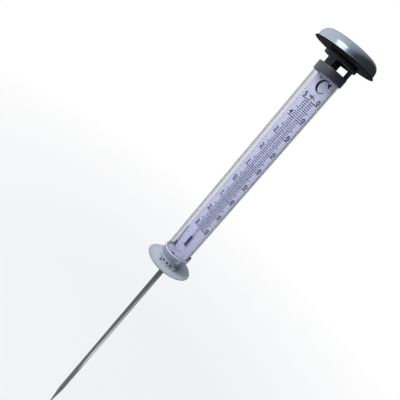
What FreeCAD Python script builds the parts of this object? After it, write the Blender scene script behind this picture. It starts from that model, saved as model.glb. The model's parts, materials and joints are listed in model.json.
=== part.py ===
"""Solar garden thermometer on a ground stake, as separate pieces.

Frame: +Z up the stake, origin at the stake's tip on its axis, the scale facing -Y. Sizes are in millimetres.
"""

import FreeCAD, Part
import math
import os
from types import SimpleNamespace

import Sketcher

doc = FreeCAD.newDocument("garden_thermometer")


# Driving dimensions: each one stands in its own cell of the sheet, with its name as the cell's alias.
SIZES = [
    # stake
    ("ground_depth", 431.1, "stake's tip to the underside of the ground disc"),
    ("stake_radius", 5.0, "outer radius of the steel stake tube"),
    ("stake_wall", 0.8, "wall of the stake tube"),
    ("stake_step", 0.4, "cone at the stake tube's top end, in radius and in height"),
    ("tip_length", 52.0, "pointed end below the stake tube"),
    ("tip_flat", 0.6, "radius of the blunt end of the point"),
    ("tip_shank", 24.0, "length of the point's shank inside the stake tube"),
    ("plug_length", 18.0, "threaded plug in the top of the stake tube"),
    # ground disc and socket
    ("disc_radius", 44.5, "ground disc"),
    ("disc_thick", 1.5, "ground disc"),
    ("socket_radius", 21.5, "socket that stands on the ground disc"),
    ("socket_height", 14.1, "socket above the ground disc"),
    ("socket_wall", 3.0, "side wall of the socket"),
    ("socket_floor", 2.6, "floor of the socket"),
    ("boss_wall", 3.0, "side wall of the boss round the stake's top end"),
    ("boss_height", 9.4, "boss above the ground disc"),
    ("boss_roof", 2.0, "boss above the stake's top end"),
    ("boss_web", 0.5, "floor and feet run this far into the socket's side wall"),
    ("foot_reach", 3.6, "feet beyond the socket's side"),
    ("foot_width", 6.5, "feet"),
    ("foot_height", 6.0, "feet above the ground disc"),
    ("foot_count", 4, "feet round the socket"),
    ("foot_turn", -19.0, "turn of the feet from the +X direction, in degrees"),
    ("window_width", 4.6, "small windows in the socket's side"),
    ("window_height", 3.6, "small windows in the socket's side"),
    ("window_sill", 3.4, "underside of the windows above the ground disc"),
    ("window_count", 16, "window places round the socket, feet included"),
    ("base_track_drop", 5.9, "underside of the twist-lock track below the socket's top"),
    ("base_lug_count", 4, "lugs of the twist lock at the base"),
    # fasteners
    ("drive_length", 1.2, "cross recess of a screw, for each unit of its head's radius"),
    ("drive_width", 0.25, "slots of the cross recess, for each unit of the head's radius"),
    ("drive_depth", 0.5, "cross recess, for each unit of the head's height"),
    ("stake_screw_radius", 2.0, "M4 screw into the stake's plug"),
    ("stake_screw_length", 14.0, "M4 screw under its head"),
    ("stake_head_radius", 3.6, "M4 pan head"),
    ("stake_head_height", 2.4, "M4 pan head"),
    ("washer_radius", 5.5, "washer under the M4 head"),
    ("washer_thick", 0.8, "washer under the M4 head"),
    ("neck_screw_radius", 1.3, "self-tapping screws from the collar into the neck posts"),
    ("neck_screw_length", 10.0, "neck screws under their heads"),
    ("neck_screw_inset", 1.9, "neck screws inward of the posts' middle"),
    ("neck_head_radius", 2.3, "neck screws"),
    ("neck_head_height", 1.4, "neck screws"),
    ("plate_screw_radius", 1.5, "self-tapping screws from the underside plate into the dome"),
    ("plate_screw_length", 10.0, "plate screws under their heads"),
    ("plate_head_radius", 2.9, "plate screws"),
    ("plate_head_height", 1.6, "plate screws"),
    ("plate_screw_inset", 6.3, "pitch circle of the plate screws inside the dome's lower edge"),
    ("plate_screw_count", 3, "plate screws"),
    ("board_screw_radius", 1.0, "screws of the circuit board"),
    ("board_screw_length", 5.0, "board screws under their heads"),
    ("board_head_radius", 1.9, "board screws"),
    ("board_head_height", 1.2, "board screws"),
    # tube and its end rings
    ("tube_radius", 24.0, "outer radius of the clear tube"),
    ("tube_wall", 1.5, "clear tube"),
    ("tube_sight", 378.5, "clear tube seen between the lower ring and the collar"),
    ("ring_wall", 2.9, "lower ring round the clear tube, at its top"),
    ("ring_taper", 1.3, "how much smaller the lower ring is at its underside"),
    ("ring_height", 12.0, "lower ring"),
    ("ring_floor", 2.5, "ledge that the clear tube stands on"),
    ("spigot_wall", 3.0, "wall of the lower ring's spigot"),
    ("spigot_below", 1.0, "spigots below the underside of their lugs"),
    ("seal_width", 0.9, "seal rings, across"),
    ("seal_height", 2.0, "seal rings, along the tube"),
    ("seal_inset", 3.0, "seals from the open edge of their ring"),
    ("collar_wall", 2.2, "collar round the clear tube"),
    ("collar_height", 14.3, "collar"),
    ("collar_roof", 3.8, "top wall of the collar"),
    ("light_hole_gap", 3.0, "light hole in the collar's top wall, round the light tube"),
    # scale card and thermometer
    ("card_face", 4.84, "card's printed face behind the tube's axis"),
    ("card_thick", 1.2, "card"),
    ("card_gap", 0.45, "card's corners inside the clear tube"),
    ("slot_depth", 1.5, "slot for the card in its foot"),
    ("card_foot_height", 8.5, "card foot above the ledge"),
    ("card_foot_wall", 1.5, "skirt of the card foot"),
    ("foot_plate", 3.0, "card foot, thickness of its plate"),
    ("foot_gap", 0.3, "card foot inside the clear tube"),
    ("prong_width", 5.4, "card foot's side prongs at their base"),
    ("prong_height", 47.5, "card foot's side prongs"),
    ("prong_thick", 1.4, "card foot's side prongs"),
    ("scale_foot", 59.08, "lowest line of the scale above the lower ring"),
    ("scale_head", 41.5, "highest line of the scale below the collar"),
    ("rest_reading", 12.0, "reading at rest, in degrees"),
    ("lowest_reading", -30.0, "bottom of the scale, in degrees"),
    ("highest_reading", 50.0, "top of the scale, in degrees"),
    ("stem_radius", 2.75, "glass stem"),
    ("bore_radius", 0.6, "bore of the glass stem"),
    ("bulb_radius", 2.1, "spirit in the bulb"),
    ("bulb_level", 18.0, "underside of the bulb's spirit above the lower ring"),
    ("bulb_length", 22.0, "spirit in the bulb"),
    ("glass_end", 2.6, "closed lower end of the glass"),
    ("glass_round", 1.0, "chamfer of the glass's ends"),
    ("stem_over", 12.0, "glass stem above the top of the scale"),
    ("bore_over", 5.0, "bore above the top of the scale"),
    ("meniscus_length", 2.4, "top slug of the spirit column"),
    ("meniscus_play", 0.05, "running play of the slug in the bore"),
    ("clip_width", 9.6, "clips that hold the stem to the card"),
    ("clip_height", 2.6, "stem clips"),
    ("clip_cover", 1.0, "stem clips in front of the stem"),
    ("clip_level", 1.4, "lower clip above the glass's lower end"),
    # neck
    ("neck_gap", 13.0, "open height between the collar and the flange"),
    ("post_inset", 1.0, "outer face of the neck posts inside the collar's side"),
    ("post_depth", 7.2, "neck posts, along the radius"),
    ("post_width", 14.0, "neck posts"),
    ("post_count", 3, "neck posts"),
    ("post_turn", -90.0, "turn of the first post and lug from the +X direction, in degrees"),
    ("flange_reach", 3.0, "flange that the head turns on, beyond the collar's side"),
    ("flange_width", 8.7, "flange, across its ring"),
    ("flange_height", 5.8, "flange"),
    ("flange_edge", 0.75, "chamfer of the flange's edges"),
    ("head_lug_count", 3, "lugs of the twist lock at the head"),
    ("flange_lug_level", 1.6, "underside of the twist-lock track above the flange's underside"),
    # twist locks
    ("turn_gap", 0.3, "clearance between pieces that turn on each other"),
    ("lug_reach", 1.7, "lugs beyond their spigot at the base"),
    ("head_lug_reach", 2.7, "lugs beyond their spigot at the head"),
    ("lug_height", 2.0, "lugs"),
    ("lug_sweep", 12.0, "lugs, in degrees"),
    ("lug_root", 1.0, "lugs run this far into their spigot"),
    ("twist", 30.0, "turn from locked to open, in degrees"),
    ("turn_play", 1.0, "play at each end of a track, in degrees"),
    # head
    ("lip_reach", 2.6, "rim of the underside plate beyond the dome's lower edge"),
    ("lip_land", 1.4, "rim of the underside plate, thickness at its edge"),
    ("plate_thick", 2.0, "underside plate"),
    ("head_gap", 3.0, "flange's top to the underside plate"),
    ("turn_ring_inset", 2.2, "ring under the plate inside the flange's edge"),
    ("head_spigot_wall", 4.0, "wall of the head's spigot"),
    ("hub_floor", 2.4, "floor of the hub over the neck"),
    ("dome_radius", 52.3, "dome at its lower edge"),
    ("dome_draft", 1.9, "how much the dome's side leans in up to its corner"),
    ("head_room", 0.45, "free height between the battery and the solar cell"),
    ("crown_radius", 400.0, "crown of the dome"),
    ("shoulder_radius", 14.0, "rounding between the dome's side and crown"),
    ("dome_wall", 2.0, "dome"),
    ("dome_boss_radius", 3.4, "screw bosses inside the dome"),
    ("dome_boss_height", 10.0, "screw bosses inside the dome"),
    ("glazing_margin", 1.54, "clear window in the dome's crown beyond the solar cell's corners"),
    ("glazing_over", 0.1, "window at its edge, thicker than the dome"),
    ("cell_side", 36.0, "square solar cell under the window"),
    ("cell_thick", 1.0, "solar cell"),
    ("dome_seal_depth", 0.8, "seal set into the plate under the dome's edge"),
    ("dome_seal_width", 1.6, "seal under the dome's edge"),
    # light
    ("light_tube_radius", 4.5, "tube that carries the light down through the neck"),
    ("light_tube_bore", 3.1, "bore of the light tube, radius"),
    ("light_tube_drop", 3.0, "end of the light tube below the collar's top"),
    ("lamp_radius", 2.5, "5 mm light-emitting diode"),
    ("lamp_rim", 2.9, "rim of the diode, radius"),
    ("lamp_barrel", 5.0, "diode, straight part"),
    ("lamp_flange", 1.0, "rim of the diode, thickness"),
    ("lead_radius", 0.3, "diode's leads"),
    ("lead_pitch", 2.54, "diode's leads"),
    # battery, board and switch
    ("cell_radius", 7.25, "AA rechargeable cell"),
    ("cell_length", 50.0, "AA rechargeable cell"),
    ("cell_nub_radius", 2.75, "positive cap of the cell"),
    ("cell_nub", 1.0, "positive cap of the cell"),
    ("cradle_offset", 18.0, "cell's axis behind the head's axis"),
    ("cradle_floor", 0.8, "battery cradle under the cell"),
    ("cradle_wall", 2.0, "battery cradle at its sides and ends"),
    ("cradle_play", 0.4, "cell in its cradle"),
    ("spring_length", 5.0, "battery's leaf spring, pressed"),
    ("leaf_strip", 0.4, "leaf spring's strip, thickness"),
    ("leaf_half", 4.5, "leaf spring, half of its width"),
    ("leaf_height", 7.0, "leaf spring's strip, width"),
    ("leaf_fold", 0.6, "leaf spring, extra at its folds"),
    ("contact_thick", 0.5, "battery contact plate"),
    ("contact_side", 9.0, "battery contact plate"),
    ("board_length", 40.0, "circuit board"),
    ("board_width", 20.0, "circuit board"),
    ("board_thick", 1.6, "circuit board"),
    ("board_post_seat", 1.65, "posts' middles inside the hub's wall, which carries them"),
    ("board_stand", 4.0, "posts under the circuit board"),
    ("board_post_radius", 2.6, "posts under the circuit board"),
    ("board_hole_pitch", 32.0, "screws of the circuit board"),
    ("coil_radius", 3.0, "coil on the circuit board"),
    ("coil_height", 4.5, "coil on the circuit board"),
    ("chip_length", 6.0, "chip on the circuit board"),
    ("chip_width", 4.0, "chip on the circuit board"),
    ("chip_height", 1.6, "chip on the circuit board"),
    ("chip_place", 9.0, "coil and chip each side of the board's middle"),
    ("switch_place", 39.0, "switch behind the head's axis"),
    ("switch_length", 14.0, "switch housing"),
    ("switch_width", 7.6, "switch housing"),
    ("switch_height", 5.0, "switch housing"),
    ("switch_wall", 1.0, "switch housing"),
    ("switch_travel", 3.0, "slide of the switch"),
    ("slider_play", 0.3, "slider inside its housing and slot"),
    ("slider_bar", 2.0, "slider's bar inside the housing, thickness"),
    ("slider_knob_length", 4.0, "slider's knob"),
    ("slider_knob_width", 2.6, "slider's knob"),
    ("slider_knob_drop", 2.0, "slider's knob below the plate"),
    ("overrun", 1.0, "cutting tools past the faces that they cut through"),
]

sheet = doc.addObject("Spreadsheet::Sheet", "Sheet")
for row, (alias, number, meaning) in enumerate(SIZES, 1):
    sheet.set(f"A{row}", alias)
    sheet.set(f"B{row}", str(number))
    sheet.setAlias(f"B{row}", alias)
    sheet.set(f"C{row}", meaning)
doc.recompute()


class Dim:
    """A size with its number and the sheet expression that it stands for."""

    def __init__(self, number, text):
        self.number = number
        self.text = text

    def __add__(self, other):
        other = dim(other)
        return Dim(self.number + other.number, f"({self.text} + {other.text})")

    def __sub__(self, other):
        other = dim(other)
        return Dim(self.number - other.number, f"({self.text} - {other.text})")

    def __mul__(self, other):
        other = dim(other)
        return Dim(self.number * other.number, f"({self.text} * {other.text})")

    def __truediv__(self, other):
        other = dim(other)
        return Dim(self.number / other.number, f"({self.text} / {other.text})")

    def __neg__(self):
        return Dim(-self.number, f"(0 - {self.text})")

    def __radd__(self, other):
        return dim(other) + self

    def __rsub__(self, other):
        return dim(other) - self

    def __rmul__(self, other):
        return dim(other) * self


def dim(value):
    return value if isinstance(value, Dim) else Dim(float(value), repr(float(value)))


def root(value):
    return Dim(math.sqrt(value.number), f"sqrt({value.text})")


s = SimpleNamespace(**{alias: Dim(sheet.get(alias), f"Sheet.{alias}") for alias, _, _ in SIZES})


# Levels and radii that several pieces share, all worked out from the sheet.
disc_top = s.ground_depth + s.disc_thick
stake_bore = s.stake_radius - s.stake_wall
stake_neck = s.stake_radius - s.stake_step
seat_top = s.ground_depth + s.stake_step
stake_top = disc_top + s.boss_height - s.boss_roof
socket_top = disc_top + s.socket_height
socket_bore = s.socket_radius - s.socket_wall
base_track_low = socket_top - s.base_track_drop
ring_low = socket_top + s.turn_gap
ring_top = ring_low + s.ring_height
ring_radius = s.tube_radius + s.ring_wall
tube_low = ring_low + s.ring_floor
tube_inner = s.tube_radius - s.tube_wall
collar_radius = s.tube_radius + s.collar_wall
collar_low = ring_top + s.tube_sight
collar_top = collar_low + s.collar_height
roof_low = collar_top - s.collar_roof
post_outer = collar_radius - s.post_inset
flange_radius = collar_radius + s.flange_reach
flange_bore = flange_radius - s.flange_width
flange_low = collar_top + s.neck_gap
flange_top = flange_low + s.flange_height
neck_track_low = flange_low + s.flange_lug_level
plate_low = flange_top + s.head_gap
plate_top = plate_low + s.plate_thick
lip_radius = s.dome_radius + s.lip_reach
spigot_radius = socket_bore - s.turn_gap
head_spigot_radius = flange_bore - s.turn_gap
track_height = s.lug_height + 2 * s.turn_gap
degree = (s.tube_sight - s.scale_foot - s.scale_head) / (s.highest_reading - s.lowest_reading)
zero_line = ring_top + s.scale_foot - degree * s.lowest_reading
bulb_low = ring_top + s.bulb_level
bulb_top = bulb_low + s.bulb_length
scale_top = zero_line + degree * s.highest_reading
reading = zero_line + degree * s.rest_reading
stem_place = s.card_face - s.stem_radius


def crown_drop(radius, crown):
    """How far a crown of that radius of curvature falls from its middle to a radius from the axis."""
    return crown - root(crown * crown - radius * radius)


# The dome's height comes from what it covers: battery, solar cell and window.
glazing_radius = s.cell_side * root(dim(0.5)) + s.glazing_margin
cell_axis = plate_top + s.cradle_floor + s.cradle_play + s.cell_radius
cell_low = cell_axis + s.cell_radius + s.head_room
glazing_low = cell_low + s.cell_thick
glazing_edge = s.dome_wall + s.glazing_over
dome_top = glazing_low + glazing_edge + crown_drop(glazing_radius, s.crown_radius)


def bind(thing, **sizes):
    """Binds properties of an object to sheet expressions; an underscore in a name stands for a dot."""
    for name, value in sizes.items():
        thing.setExpression(name.replace("_", "."), dim(value).text)


class Piece:
    """A PartDesign body that grows feature by feature."""

    def __init__(self, name):
        self.name = name
        self.body = doc.addObject("PartDesign::Body", name)
        self.body.Label = name
        self.count = 0

    def sketch(self, plane, level=0):
        self.count += 1
        made = self.body.newObject("Sketcher::SketchObject", f"{self.name}_sketch{self.count}")
        support = [f for f in self.body.Origin.OriginFeatures if f.Role == plane][0]
        made.AttachmentSupport = [(support, "")]
        made.MapMode = "FlatFace"
        made.setExpression("AttachmentOffset.Base.z", dim(level).text)
        return made

    def feature(self, kind, profile, **sizes):
        self.count += 1
        before = self.body.Shape.Volume if self.body.Shape.Solids else 0.0
        made = self.body.newObject(f"PartDesign::{kind}", f"{self.name}_{kind.lower()}{self.count}")
        made.Profile = profile
        if kind in ("Revolution", "Groove"):
            made.ReferenceAxis = (profile, ["V_Axis"])
            made.Angle = 360
        bind(made, **sizes)
        profile.Visibility = False
        doc.recompute()
        after = self.body.Shape.Volume
        grows = kind in ("Revolution", "Pad")
        if (after <= before) if grows else (after >= before):
            raise ValueError(f"{made.Name} changes nothing: {before} to {after}")
        return made

    def turned(self, points, kind="Revolution", arcs=None):
        """Turns an outline of (radius, level) points about the Z axis."""
        return self.feature(kind, outline(self.sketch("XZ_Plane"), points, arcs))

    def around(self, feature, count):
        """Repeats a feature round the Z axis."""
        self.count += 1
        made = self.body.newObject("PartDesign::PolarPattern", f"{self.name}_pattern{self.count}")
        made.Originals = [feature]
        axis = [f for f in self.body.Origin.OriginFeatures if f.Role == "Z_Axis"][0]
        made.Axis = (axis, [""])
        made.Angle = 360
        bind(made, Occurrences=count)
        self.body.Tip = made
        doc.recompute()
        return made

    def rounded(self, radius, level, ring_radius):
        """Fillets the circular edge of that radius at that level."""
        self.count += 1
        base = self.body.Tip
        names = [
            f"Edge{n}"
            for n, edge in enumerate(base.Shape.Edges, 1)
            if edge.BoundBox.ZLength < 0.01
            and abs(edge.BoundBox.XMax - ring_radius.number) < 0.05
            and abs(edge.BoundBox.ZMin - level.number) < 0.05
        ]
        made = self.body.newObject("PartDesign::Fillet", f"{self.name}_fillet{self.count}")
        made.Base = (base, names)
        bind(made, Radius=radius)
        doc.recompute()
        return made


def outline(sketch, points, arcs=None):
    """Draws a closed outline; arcs gives a radius for the segments that bulge outwards, by their number."""
    arcs = arcs or {}
    ends = [(dim(a), dim(b)) for a, b in points]
    at = [FreeCAD.Vector(a.number, b.number, 0) for a, b in ends]
    for n, start in enumerate(at):
        end = at[(n + 1) % len(at)]
        if n in arcs:
            half = (end - start) / 2
            rise = math.sqrt(arcs[n].number ** 2 - half.Length**2)
            across = FreeCAD.Vector(-half.y, half.x, 0).normalize()
            middle = start + half + across * rise
            circle = Part.Circle(middle, FreeCAD.Vector(0, 0, 1), arcs[n].number)
            first = math.atan2(start.y - middle.y, start.x - middle.x)
            last = math.atan2(end.y - middle.y, end.x - middle.x)
            sketch.addGeometry(Part.ArcOfCircle(circle, first, last))
        else:
            sketch.addGeometry(Part.LineSegment(start, end))
    for n in range(len(at)):
        sketch.addConstraint(Sketcher.Constraint("Coincident", n, 2, (n + 1) % len(at), 1))
    for n, (across, up) in enumerate(ends):
        if across.number == 0:
            sketch.addConstraint(Sketcher.Constraint("PointOnObject", n, 1, -2))
        else:
            place = sketch.addConstraint(Sketcher.Constraint("DistanceX", n, 1, across.number))
            sketch.setExpression(f"Constraints[{place}]", across.text)
        place = sketch.addConstraint(Sketcher.Constraint("DistanceY", n, 1, up.number))
        sketch.setExpression(f"Constraints[{place}]", up.text)
    for n, radius in arcs.items():
        place = sketch.addConstraint(Sketcher.Constraint("Radius", n, radius.number))
        sketch.setExpression(f"Constraints[{place}]", radius.text)
    doc.recompute()
    return sketch


def rectangle(low, high):
    """Corner points of a rectangle, anticlockwise."""
    return [low, (high[0], low[1]), high, (low[0], high[1])]


def place(thing, x=0, y=0, z=0, turn=None):
    for axis, value in (("x", x), ("y", y), ("z", z)):
        thing.setExpression(f"Placement.Base.{axis}", dim(value).text)
    if turn is not None:
        thing.Placement.Rotation = FreeCAD.Rotation(FreeCAD.Vector(0, 0, 1), 1)
        thing.setExpression("Placement.Rotation.Angle", dim(turn).text)
    return thing


def cylinder(name, radius, height, x=0, y=0, z=0, sweep=None, turn=None):
    made = doc.addObject("Part::Cylinder", name)
    bind(made, Radius=radius, Height=height)
    if sweep is not None:
        bind(made, Angle=sweep)
    return place(made, x, y, z, turn)


def lying(name, radius, length, x, y, z):
    """A cylinder that lies along +X from x."""
    made = doc.addObject("Part::Cylinder", name)
    bind(made, Radius=radius, Height=length)
    made.Placement.Rotation = FreeCAD.Rotation(FreeCAD.Vector(0, 1, 0), 90)
    return place(made, x, y, z)


def block(name, size, middle, low):
    """A box of that size, its middle at x, y and its underside at low."""
    made = doc.addObject("Part::Box", name)
    bind(made, Length=size[0], Width=size[1], Height=size[2])
    return place(made, middle[0] - dim(size[0]) / 2, middle[1] - dim(size[1]) / 2, low)


def joined(name, things):
    made = doc.addObject("Part::MultiFuse", name)
    made.Shapes = things
    return made


def cut(name, base, tool):
    made = doc.addObject("Part::Cut", name)
    made.Base = base
    made.Tool = tool
    return made


def common(name, base, tool):
    made = doc.addObject("Part::Common", name)
    made.Base = base
    made.Tool = tool
    return made


def grouped(name, things):
    """One node that holds several separate solids."""
    made = doc.addObject("Part::Compound", name)
    made.Links = things
    return made


def sector(name, inner, outer, low, height, start, sweep):
    """Part of a ring, from the start angle and through the sweep, in degrees."""
    whole = cylinder(f"{name}_whole", outer, height, z=low, sweep=sweep, turn=start)
    hole = cylinder(f"{name}_hole", inner, height, z=low)
    return cut(name, whole, hole)


def lugs(name, spigot, reach, low, count, turn):
    """Lugs of a twist lock, sunk a little into their spigot."""
    root_radius = spigot - s.lug_root
    return [
        sector(f"{name}{n}", root_radius, spigot + reach, low, s.lug_height,
               turn + n * 360.0 / count.number - s.lug_sweep / 2, s.lug_sweep)
        for n in range(int(count.number))
    ]


def tracks(name, outer, low, top, count, turn):
    """Room for the lugs: a level track from locked to open, and a slot up from its open end."""
    made = []
    for n in range(int(count.number)):
        start = turn + n * 360.0 / count.number - s.lug_sweep / 2 - s.turn_play
        made.append(cylinder(f"{name}_track{n}", outer, track_height, z=low,
                             sweep=s.lug_sweep + s.twist + 2 * s.turn_play, turn=start))
        made.append(cylinder(f"{name}_slot{n}", outer, top - low, z=low,
                             sweep=s.lug_sweep + 2 * s.turn_play, turn=start + s.twist))
    return joined(name, made)


def pan_screw(name, shank, length, head, head_height, under, x=0, y=0, up=True):
    """A pan-head screw: its head's bearing face at the level under, its shank up or down from it."""
    if up:
        shank_low, head_low = under, under - head_height
    else:
        shank_low, head_low = under - length, under
    whole = joined(name, [
        cylinder(f"{name}_shank", shank, length, x, y, shank_low),
        cylinder(f"{name}_head", head, head_height, x, y, head_low),
    ])
    long_side, short_side = head * s.drive_length, head * s.drive_width
    depth = head_height * s.drive_depth
    drive_low = under - head_height if up else under + head_height - depth
    drive = joined(f"{name}_drive", [
        block(f"{name}_drive_a", (long_side, short_side, depth), (x, y), drive_low),
        block(f"{name}_drive_b", (short_side, long_side, depth), (x, y), drive_low),
    ])
    return cut(f"{name}_cut", whole, drive)


def ring_places(radius, count, start):
    """Places round the axis, as sheet expressions, from the start angle in degrees."""
    places = []
    for n in range(int(count.number)):
        angle = math.radians(start.number + 360.0 * n / count.number)
        places.append((radius * round(math.cos(angle), 9), radius * round(math.sin(angle), 9)))
    return places


nodes = {}


def keep(name, thing):
    """Names a finished sub-part."""
    thing.Label = name
    nodes[name] = thing
    return thing


# ---- Stake -------------------------------------------------------------------------------------------------

# Pointed end of the stake: a turned point with a shank pressed into the tube.
tip = Piece("stake_tip")
tip.turned([
    (0, 0), (s.tip_flat, 0), (s.stake_radius, s.tip_length), (stake_bore, s.tip_length),
    (stake_bore, s.tip_length + s.tip_shank), (0, s.tip_length + s.tip_shank),
])
keep("stake_tip", tip.body)

# Stake tube: bright steel tube, its top end turned down on a short cone that the ground disc seats on.
tube = Piece("stake_tube")
tube.turned([
    (stake_bore, s.tip_length), (s.stake_radius, s.tip_length), (s.stake_radius, s.ground_depth),
    (stake_neck, seat_top), (stake_neck, stake_top), (stake_bore, stake_top),
])
keep("stake_tube", tube.body)

# Threaded plug, crimped in the top of the stake tube.
plug = Piece("stake_plug")
plug.turned([
    (s.stake_screw_radius, stake_top - s.plug_length), (stake_bore, stake_top - s.plug_length),
    (stake_bore, stake_top), (s.stake_screw_radius, stake_top),
])
keep("stake_plug", plug.body)

# Ground disc: a thin round plate that stops the stake at the soil, its hole countersunk to sit on the
# stake's cone and clamped there by the socket.
disc = Piece("ground_disc")
disc.turned([
    (stake_neck, seat_top), (s.stake_radius, s.ground_depth),
    (s.disc_radius - s.disc_thick / 2, s.ground_depth),
    (s.disc_radius, s.ground_depth + s.disc_thick / 2), (s.disc_radius - s.disc_thick / 2, disc_top),
    (stake_neck, disc_top),
])
keep("ground_disc", disc.body)

# Socket: side wall with small windows, floor and boss in one moulding, and feet on the ground disc.
socket = Piece("socket_blank")
socket.turned(rectangle((socket_bore, disc_top), (s.socket_radius, socket_top)))
window = socket.feature(
    "Pocket",
    outline(socket.sketch("XZ_Plane"), rectangle(
        (-s.window_width / 2, disc_top + s.window_sill),
        (s.window_width / 2, disc_top + s.window_sill + s.window_height))),
    Length=s.socket_radius + s.overrun)
socket.around(window, s.window_count)
web_radius = socket_bore + s.boss_web
boss_radius = s.stake_radius + s.boss_wall
socket.turned([
    (stake_neck, disc_top), (web_radius, disc_top),
    (web_radius, disc_top + s.socket_floor), (boss_radius, disc_top + s.socket_floor),
    (boss_radius, disc_top + s.boss_height), (s.stake_screw_radius, disc_top + s.boss_height),
    (s.stake_screw_radius, stake_top), (stake_neck, stake_top),
])
foot = socket.feature(
    "Pad",
    outline(socket.sketch("XY_Plane", disc_top), rectangle(
        (web_radius, -s.foot_width / 2), (s.socket_radius + s.foot_reach, s.foot_width / 2))),
    Length=s.foot_height)
socket.around(foot, s.foot_count)
place(socket.body, turn=s.foot_turn)
keep("base_socket", cut("base_socket", socket.body, tracks(
    "base_tracks", spigot_radius + s.lug_reach + s.turn_gap, base_track_low, socket_top + s.overrun,
    s.base_lug_count, s.foot_turn)))

# Screw and washer that pull the socket and disc down on the stake.
screw_seat = disc_top + s.boss_height
washer = Piece("stake_washer")
washer.turned(rectangle((s.stake_screw_radius, screw_seat), (s.washer_radius, screw_seat + s.washer_thick)))
keep("stake_washer", washer.body)
keep("stake_screw", pan_screw("stake_screw", s.stake_screw_radius, s.stake_screw_length, s.stake_head_radius,
                              s.stake_head_height, screw_seat + s.washer_thick, up=False))


# ---- Tube --------------------------------------------------------------------------------------------------

# Lower ring: holds the clear tube, and locks in the socket with four lugs on its spigot.
spigot_low = base_track_low + s.turn_gap - s.spigot_below
ring = Piece("ring_blank")
ring.turned([
    (spigot_radius - s.spigot_wall, spigot_low), (spigot_radius, spigot_low), (spigot_radius, ring_low),
    (ring_radius - s.ring_taper, ring_low), (ring_radius, ring_top), (s.tube_radius, ring_top),
    (s.tube_radius, tube_low), (spigot_radius - s.spigot_wall, tube_low),
])
ring.turned(rectangle(
    (s.tube_radius - s.overrun, ring_top - s.seal_inset - s.seal_height),
    (s.tube_radius + s.seal_width, ring_top - s.seal_inset)), "Groove")
keep("lower_ring", joined("lower_ring", [ring.body] + lugs(
    "ring_lug", spigot_radius, s.lug_reach, base_track_low + s.turn_gap, s.base_lug_count, s.foot_turn)))

# Seals round both ends of the clear tube.
lower_seal_low = ring_top - s.seal_inset - s.seal_height
collar_seal_low = collar_low + s.seal_inset
for name, low in (("lower_seal", lower_seal_low), ("collar_seal", collar_seal_low)):
    seal = Piece(name)
    seal.turned(rectangle((s.tube_radius, low), (s.tube_radius + s.seal_width, low + s.seal_height)))
    keep(name, seal.body)

# Clear tube: acrylic, from the lower ring's ledge to the collar's top wall.
clear = Piece("clear_tube")
clear.turned(rectangle((tube_inner, tube_low), (s.tube_radius, roof_low)))
keep("clear_tube", clear.body)

# Collar: cap on the clear tube, with a hole for the light.
light_hole = s.light_tube_radius + s.light_hole_gap
collar = Piece("collar_blank")
collar.turned([
    (s.tube_radius, collar_low), (collar_radius, collar_low), (collar_radius, collar_top),
    (light_hole, collar_top), (light_hole, roof_low), (s.tube_radius, roof_low),
])
collar.turned(rectangle(
    (s.tube_radius - s.overrun, collar_seal_low),
    (s.tube_radius + s.seal_width, collar_seal_low + s.seal_height)), "Groove")
post_places = ring_places(post_outer - s.post_depth / 2 - s.neck_screw_inset, s.post_count, s.post_turn)
keep("top_collar", cut("top_collar", collar.body, joined("collar_holes", [
    cylinder(f"collar_hole{n}", s.neck_screw_radius, s.collar_roof + 2 * s.overrun, x, y,
             roof_low - s.overrun)
    for n, (x, y) in enumerate(post_places)])))

# Card foot: a cup upside down in the bottom of the clear tube, with a slot for the card and two side prongs.
card_back = s.card_face + s.card_thick
card_edge = tube_inner - s.card_gap
card_half = root(card_edge * card_edge - card_back * card_back)
foot_top = tube_low + s.card_foot_height
foot_under = foot_top - s.foot_plate
foot_radius = tube_inner - s.foot_gap
prong_low = foot_top - s.overrun
prongs = []
for name, side in (("left", -1), ("right", 1)):
    prong = Piece(f"{name}_prong")
    edge = side * card_half
    inner = side * (card_half - s.prong_width)
    corners = [(edge, prong_low), (inner, prong_low), (inner, foot_top), (edge, foot_top + s.prong_height)]
    prong.feature("Pad", outline(prong.sketch("XZ_Plane", -s.card_face), corners), Length=s.prong_thick)
    prongs.append(prong.body)
cup = Piece("foot_cup")
cup.turned([
    (foot_radius - s.card_foot_wall, tube_low), (foot_radius, tube_low), (foot_radius, foot_top),
    (0, foot_top), (0, foot_under), (foot_radius - s.card_foot_wall, foot_under),
])
card_low = foot_top - s.slot_depth
card_slot = block("card_slot", (2 * card_half, s.card_thick, s.foot_plate),
                  (0, s.card_face + s.card_thick / 2), card_low)
keep("card_foot", cut("card_foot", joined("card_foot_blank", [cup.body] + prongs), card_slot))

# Scale card: a flat sheet that stands in the foot and reaches the collar's top wall.
keep("scale_card", block("scale_card", (2 * card_half, s.card_thick, roof_low - card_low),
                         (0, s.card_face + s.card_thick / 2), card_low))

# Glass stem: a closed tube with a wide bulb and a narrow bore.
glass_low = bulb_low - s.glass_end
glass_top = scale_top + s.stem_over
bore_top = scale_top + s.bore_over
stem = Piece("glass_stem")
stem_end = s.stem_radius - s.glass_round
bulb_side_top = bulb_top - s.bulb_radius
stem.turned([
    (0, glass_low), (stem_end, glass_low), (s.stem_radius, glass_low + s.glass_round),
    (s.stem_radius, glass_top - s.glass_round), (stem_end, glass_top), (0, glass_top),
    (0, bore_top), (s.bore_radius, bore_top), (s.bore_radius, bulb_top),
    (s.bulb_radius, bulb_side_top), (s.bulb_radius, bulb_low), (0, bulb_low),
])
keep("glass_stem", place(stem.body, y=stem_place))

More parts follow.
